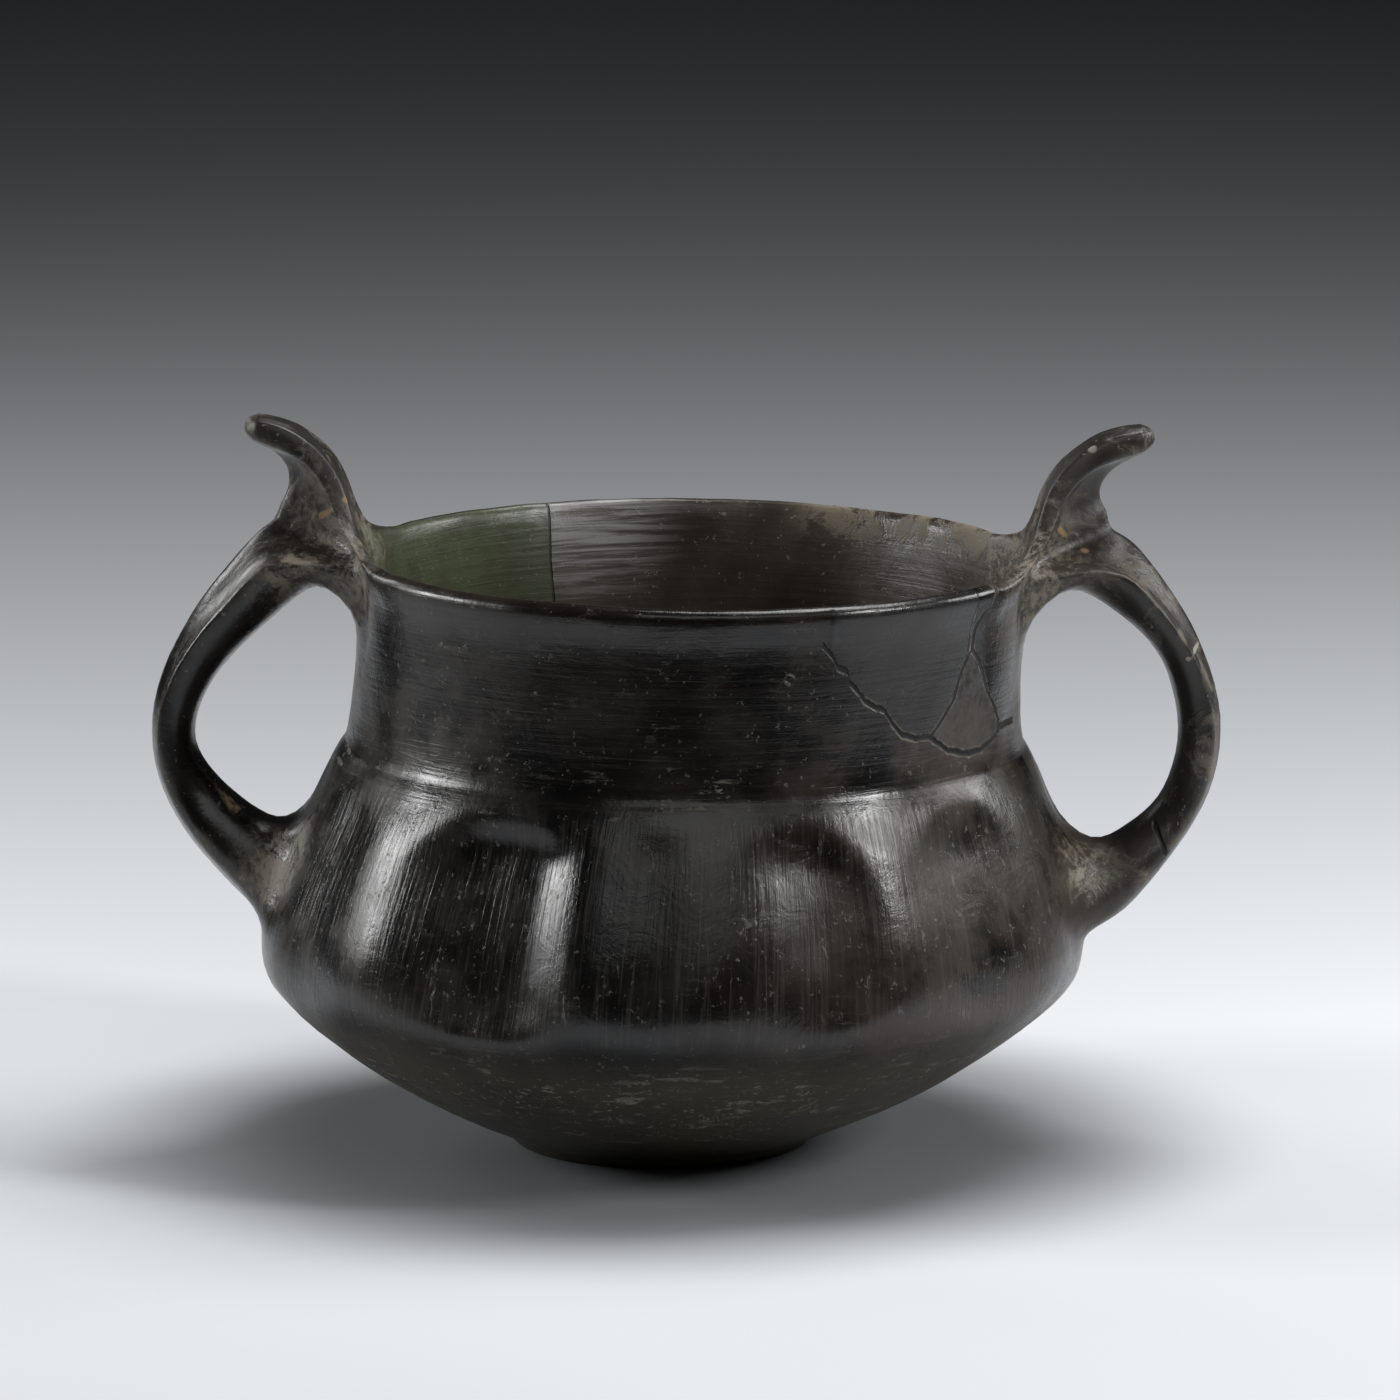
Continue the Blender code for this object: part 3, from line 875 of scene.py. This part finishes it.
# %% Lay grit and scratches
fine = clay.noise(520, detail=3, rough=0.7)
coarse = clay.noise(95, detail=5, rough=0.7, warp=0.8)
gather = clay.rise(pz, 0.008, 0.016) * clay.fall(pz, 0.026, 0.046) * (1.0 - inside)
specks = clay.rise(fine + gather * 0.05 + coarse * 0.22, 0.757, 0.795)
scratch = clay.noise(1.0, clay.stretched((65, 65, 430), (0, 10, 0)), detail=4, rough=0.7, warp=0.6)
upright_scratch = clay.noise(1.0, clay.stretched((420, 420, 90), (0, -14, 0)), detail=3, rough=0.7, warp=0.5)
scratches = clay.rise(scratch + gather * 0.035, 0.575, 0.63) * (1.0 - fluted * 0.8)
scratches = (scratches + clay.rise(upright_scratch, 0.62, 0.69) * fluted) * clay.rise(coarse, 0.47, 0.60)
ledge = clay.rise(pz, *FLUTES_END) * clay.fall(pz, 0.108, 0.116) * body * clay.rise(clouds, 0.48, 0.60)
pale = specks * (0.28 + gather * 0.5 + (handles + inside) * 0.3)
pale = pale.most(scratches * (gather * 0.8 + ledge * 0.6 + fluted * 0.25 + 0.10))
print("with its scratches it has", len(clay.tree.nodes), "nodes")


# %% [markdown]
# Earth from the burial sits in the corners where the handles meet the bowl, and the edges of the straps are rubbed
# pale.
# A pale grey patch on the back of the inside, left of the middle, is a painted highlight. Each corner is a soft spot of
# its own, broken up by the dust pattern.

# %% Lay dirt in the corners and wear on the edges, and paint a highlight inside
ROOT_DIRT = [((0.0955, -0.0190, 0.1500), 0.027, 0.8, 1.0), ((-0.0865, -0.0185, 0.1530), 0.026, 0.8, 1.0),
             ((0.1085, -0.0150, 0.0760), 0.015, 0.8, 1.0), ((-0.0985, -0.0180, 0.0780), 0.017, 0.8, 1.0),
             ((0.0985, -0.0120, 0.1640), 0.017, 0.9, 0.8), ((-0.0935, -0.0120, 0.1650), 0.016, 0.9, 0.8)]
HIGHLIGHT_GREY, EARTH, GRIT = (0.300, 0.290, 0.285), (0.215, 0.182, 0.138), (0.26, 0.235, 0.19)


def most_of(patterns):
    """The strongest of several patterns at each place."""
    strongest, *others = patterns
    for pattern in others:
        strongest = strongest.most(pattern)
    return strongest


root_dirt = most_of(clay.spot(place, size, edge, mirrored) * weight for place, size, edge, weight in ROOT_DIRT)
dust = clay.rise(coarse * 0.6 + fine * 0.4, 0.44, 0.60)
worn = handles * clay.rise(facing_out, 0.10, 0.70) * clay.rise(coarse + along * 0.3, 0.60, 0.80)
worn = worn * (0.2 + 0.3 * brown)
patchy = handles * brown * clay.rise(coarse, 0.53, 0.68) * 0.5
dirt = (root_dirt * (0.14 + 1.1 * dust)).least(1.0).most(worn).most(patchy)
# A painted highlight: a pale grey patch on the back of the inside wall, streaked like the burnish.
painted_inside_highlight = inside * clay.spot((-0.020, 0.080, 0.152), 0.030, 0.8) * (0.2 + clay.rise(level, 0.40, 0.60))
surface = clay.colour(painted_inside_highlight * 0.9, ground, HIGHLIGHT_GREY)
surface = clay.colour(dirt * 0.85, surface, EARTH)
surface = clay.colour(pale * 0.8, surface, GRIT)
print("with its dirt it has", len(clay.tree.nodes), "nodes")

# %% [markdown]
# The bowl was broken and mended. A long crack runs down the right of the neck from below the rim, and two branches
# climb back to it, which leaves one smooth sherd and one rough one. Each crack is a broken line on the unrolled neck:
# its height in millimetres is traced against the turn in degrees, or its turn against its height. The distance from
# that line makes the groove.

# %% Trace the cracks on the neck
FAR_AWAY = 20.0
LONG_CRACK = [(21.6, 145.5), (23.8, 141.9), (24.9, 139.0), (26.8, 137.7), (27.3, 134.8), (29.0, 132.5), (30.6, 129.7),
              (32.8, 127.6), (34.7, 126.3), (36.7, 122.6), (38.6, 119.8), (41.8, 118.1), (45.0, 117.8), (50.0, 113.4),
              (55.7, 111.3), (59.7, 111.4), (63.0, 112.3), (65.8, 113.7), (67.0, 115.7), (75.1, 115.4)]
OUTER_BRANCH = [(113.7, 66.6), (117.6, 66.5), (121.0, 64.7), (126.0, 61.2), (130.6, 59.4), (134.6, 57.6),
                (138.4, 55.0), (141.2, 54.9), (144.8, 55.2), (147.7, 56.4), (149.7, 59.0), (157.0, 60.5)]
INNER_BRANCH = [(118.0, 45.4), (119.7, 46.8), (122.4, 48.5), (126.1, 50.6), (131.8, 51.9), (136.8, 53.7),
                (138.4, 55.0)]
BACK_CRACK = [(80.0, -158.0), (96.0, -156.5), (112.0, -153.5), (126.0, -154.2), (140.0, -153.0), (157.0, -152.6)]
neck_mm = pz * 1000
arc_mm = reach * (1000 * math.pi / 180)


def between_marks(value, low, high, soft):
    """1 between two values and 0 beyond them, with soft edges."""
    return clay.rise(value, low - soft, low + soft) * clay.fall(value, high - soft, high + soft)


def up_crack(stops):
    """Millimetres from a crack that climbs the neck, and the turn it has at each height."""
    path = clay.traced(neck_mm, stops)
    away = (turn - path).size() * arc_mm * 0.9
    return away + FAR_AWAY * (1.0 - between_marks(neck_mm, stops[0][0], stops[-1][0], 0.2)), path


wander = (clay.noise(260, detail=2) - 0.5) * 0.9
long_path = clay.traced(turn, LONG_CRACK)
above = neck_mm - long_path + wander
long_away = above.size() * 0.8
long_away = long_away + FAR_AWAY * (1.0 - between_marks(turn, LONG_CRACK[0][0], LONG_CRACK[-1][0], 0.2))
outer_away, outer_path = up_crack(OUTER_BRANCH)
inner_away, inner_path = up_crack(INNER_BRANCH)
back_away, back_path = up_crack(BACK_CRACK)
neck_away = long_away.least(outer_away + wander * 0.6).least(inner_away + wander * 0.6)
crack = clay.fall(neck_away, 0.36, 0.85).most(clay.fall(back_away + wander * 0.4, 0.12, 0.42) * 0.8) * body
filler = clay.fall(neck_away, 0.6, 1.3) * clay.rise(coarse * 0.5 + fine * 0.5, 0.47, 0.55) * body
over_crack = clay.rise(above, 0.0, 0.4) * body
past_inner, past_outer = turn - inner_path, turn - outer_path
smooth_sherd = over_crack * between_marks(turn, 23.0, 54.0, 0.6) * clay.fall(past_inner, -0.2, 0.2)
rough_sherd = over_crack * clay.rise(past_inner, -0.2, 0.2) * clay.fall(past_outer, -0.2, 0.2)
rough_sherd = rough_sherd * clay.fall(neck_mm, 138.0, 141.0)
print("with its cracks it has", len(clay.tree.nodes), "nodes")

# %% [markdown]
# Inside, the left of the wall was made good with a piece that has turned olive green. A pale crust sits on the lip at
# the back right. The handles carry a few single cracks and chips, each placed by its own point or line.

# %% Place the mends and single marks
TAN_LINES = [((-0.0877, -0.0053, 0.1657), (-0.0810, -0.0125, 0.1712), 0.0012),
             ((0.1030, -0.0068, 0.1621), (0.1098, -0.0059, 0.1564), 0.0011)]
TAN_STAIN = (-0.1190, -0.0040, 0.1060), (-0.1105, -0.0080, 0.0885), 0.0026
PALE_LINE = (0.1358, -0.0132, 0.1290), (0.1405, -0.0010, 0.1325), 0.0009
DARK_LINE = (0.1262, -0.0072, 0.0895), (0.1312, -0.0125, 0.0765), 0.0010
PALE_CHIPS = [((0.0802, -0.0508, 0.1384), 0.0022, 0.6), ((0.1111, -0.0080, 0.1834), 0.0015, 0.5)]
RAGGED_CHIP = (0.0326, -0.0839, 0.1367), 0.0020, 0.8
DUSTY_SPOTS = [((0.0975, -0.0180, 0.1574), 0.0085), ((0.1097, -0.0167, 0.0745), 0.0065),
               ((-0.0840, -0.0150, 0.1570), 0.0070)]
HOLE = (0.0697, -0.0616, 0.1180), 0.0019, 0.5

olive = inside * between_marks(turn, -200.0, -100.0, 3.0) * clay.rise(turn - back_path, -0.15, 0.15)
olive = olive * clay.rise(neck_mm + clouds * 20.0, 100.0, 104.0)
crust = between_marks(turn, 112.0, 160.0, 6.0) * clay.rise(neck_mm + coarse * 12.0, 151.0, 157.0)
crust = crust * clay.rise(coarse, 0.40, 0.55) * body
tan_marks = most_of(clay.seam(*line) for line in TAN_LINES).most(clay.seam(*TAN_STAIN) * dust)
pale_marks = most_of(clay.spot(*chip) for chip in PALE_CHIPS).most(clay.seam(*PALE_LINE))
pale_marks = pale_marks.most(most_of(clay.spot(*spot, 0.9) for spot in DUSTY_SPOTS) * dust)
pale_marks = pale_marks.most(clay.spot(*RAGGED_CHIP) * clay.rise(fine, 0.48, 0.56))
breaks = clay.seam(*DARK_LINE).most(clay.spot(*HOLE))
print("with its mends it has", len(clay.tree.nodes), "nodes")

# %% [markdown]
# The marks are laid over the ground in turn, the dark cracks last.

# %% Lay the marks over the clay
MARKS = [(smooth_sherd * 0.7, (0.0195, 0.0190, 0.0185)),
         (rough_sherd * clay.rise(fine * 0.5 + coarse * 0.5, 0.40, 0.60), (0.048, 0.042, 0.034)),
         (olive * (0.50 + 0.38 * clay.rise(blotches, 0.36, 0.60)), (0.050, 0.064, 0.028)),
         (crust * 0.8, (0.210, 0.175, 0.125)),
         (filler * 0.55, (0.230, 0.200, 0.150)),
         (tan_marks * 0.85, (0.330, 0.220, 0.110)),
         (pale_marks * 0.75, (0.340, 0.310, 0.260)),
         (crack.most(breaks), (0.0025, 0.0022, 0.0020))]
for strength, mark_colour in MARKS:
    surface = clay.colour(strength, surface, mark_colour)
print("laid", len(MARKS), "kinds of mark over the clay")

# %% [markdown]
# Burnished clay shines, and dirt, filler and bare sherds are matt, so the same patterns also set the roughness. The
# streaks and grit are far too fine for the mesh, so they are Bump nodes, one feeding the next.

# %% Set the gloss and the fine relief
clay.set("Base Color", surface)
matt = (dirt * 0.8).most(pale).most(inside * 0.2).most(rough_sherd * 0.7).most(crust).most(filler)
matt = matt.most(tan_marks).most(pale_marks).most(crack).most(breaks)
BARE_GLOSS = 0.17
rough = BARE_GLOSS + streaks * 0.12 + matt * 0.40 + lower * 0.12 + clay.rise(blotches, 0.42, 0.70) * 0.12
clay.set("Roughness", rough + handles * brown * 0.13 + warm * 0.03)
relief = clay.bump(streaks, 0.00012)
relief = clay.bump(coarse, 0.00018, relief)
relief = clay.bump(grain, 0.000015, relief)
relief = clay.bump(dirt + pale + crust + pale_marks + rough_sherd * fine, 0.00010, relief)
relief = clay.bump((smooth_sherd + rough_sherd) * 0.35 - crack.most(breaks), 0.0006, relief)
clay.set("Normal", relief)
bowl.data.materials.clear()
bowl.data.materials.append(clay.material)
print("the clay has", len(clay.tree.nodes), "nodes")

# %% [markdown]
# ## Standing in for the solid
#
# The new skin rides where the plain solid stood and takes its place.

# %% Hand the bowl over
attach(bowl, "root")
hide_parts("bowl")
print(bowl.name, "stands in for the solid")


# %% [markdown]
# ## The table and the light
#
# The photograph was taken on a pale sheet that falls off into shade behind the bowl. The fall-off could come from the
# lamps, but then it would change with every lamp that is moved, so it is painted on the sheet: it keeps the same share
# of its paleness over each metre. A painted shadow makes it darker under the bowl, and painted shade in front of it and
# at its sides, because the gloss mirrors it there and the lower body would turn pale.

# %% Lay the floor
SHEET_WIDTH = 12
DARKEST, PALER, KEPT_PER_METRE, SHADE_START = 0.16, 0.59, 0.2865, 0.15
SIDE_START, SIDE_END, FRONT_END, FRONT_START = 0.30, 0.85, -0.40, -0.285
PAINTED_SHADOW_DEPTH, PAINTED_SHADOW_WIDTH = 0.72, 0.17
PAPER_WHITE = (0.965, 1.0, 1.05)

bpy.ops.object.select_all(action="DESELECT")
bpy.ops.mesh.primitive_plane_add(size=SHEET_WIDTH, location=(0, 0, 0))
floor = bpy.context.object
floor.name = floor.data.name = "floor"
paper = Finish("pale_paper")
fx, fy, _ = paper.parts(paper.place)
shade = DARKEST + PALER * KEPT_PER_METRE ** (fy - SHADE_START).most(0.0)
# Painted shade at the sides of the sheet and in front of the bowl.
sides = 0.3 + 0.7 * paper.fall(fx.size(), SIDE_START, SIDE_END)
shade = shade * sides * paper.rise(fy, FRONT_END, FRONT_START)
# A painted shadow right under the bowl.
shade = shade * (1.0 - PAINTED_SHADOW_DEPTH * paper.spot((0.0, 0.0, 0.0), PAINTED_SHADOW_WIDTH, 0.5))
paper.set("Base Color", paper.colour(shade, (0.0, 0.0, 0.0), PAPER_WHITE))
paper.set("Roughness", 0.9)
floor.data.materials.append(paper.material)
floor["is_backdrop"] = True
print("the paper has", len(paper.tree.nodes), "nodes")


# %% [markdown]
# A glossy thing is lit by what it mirrors, so each lamp is a soft rectangle, and it hangs where a ridge or a strap that
# shines in the photograph throws the camera's line of sight. The left and the right one are small and rather low, and
# make the bright streaks on the ridges. The others, above, behind and in front, lift the shade. The Standard view
# transform shows the tones just as the sheet and the lamps give them.

# %% Hang the lights
def soft_light(name, place, size, power, aim=(0, 0, 0.09)):
    light = bpy.data.lights.new(name, "AREA")
    light.shape, light.size, light.size_y, light.energy = "RECTANGLE", *size, power
    lamp = bpy.data.objects.new(name, light)
    lamp.location = place
    lamp.rotation_euler = (Vector(aim) - Vector(place)).to_track_quat("-Z", "Y").to_euler()
    bpy.context.scene.collection.objects.link(lamp)
    print(name, "gives", power, "W")


soft_light("left_light", (-1.21, 0.075, 0.50), (0.46, 0.32), 8.5)
soft_light("right_light", (1.08, -0.47, 0.74), (0.20, 0.32), 8)
soft_light("top_light", (0.45, 0.35, 1.50), (0.9, 0.7), 15)
soft_light("back_right_light", (1.15, 0.45, 0.60), (0.5, 0.36), 5)
soft_light("back_left_light", (-0.95, 0.95, 0.70), (0.5, 0.4), 3.2)
soft_light("front_light", (0.2, -1.6, 1.5), (1.6, 1.0), 6)

ROOM_GREY = (0.014, 0.014, 0.015, 1.0)
world = bpy.data.worlds.new("studio")
bpy.context.scene.world = world
world.use_nodes = True
world.node_tree.nodes["Background"].inputs["Color"].default_value = ROOM_GREY
bpy.context.scene.view_settings.view_transform = "Standard"
print("the room's own light is", ROOM_GREY[:3])

# %% [markdown]
# ## The size of the finished bowl
#
# The finished bowl has to keep inside the box of the plain solid and very nearly fill it. Both boxes are printed, so
# they can be compared.

# %% Print both boxes
visual_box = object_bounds()
for corner, cad, made in zip(("low", "high"), cad_box, visual_box):
    solid_mm, bowl_mm = ([round(v * 1000, 1) for v in point] for point in (cad, made))
    print(corner, "corner, mm: solid", solid_mm, "bowl", bowl_mm)
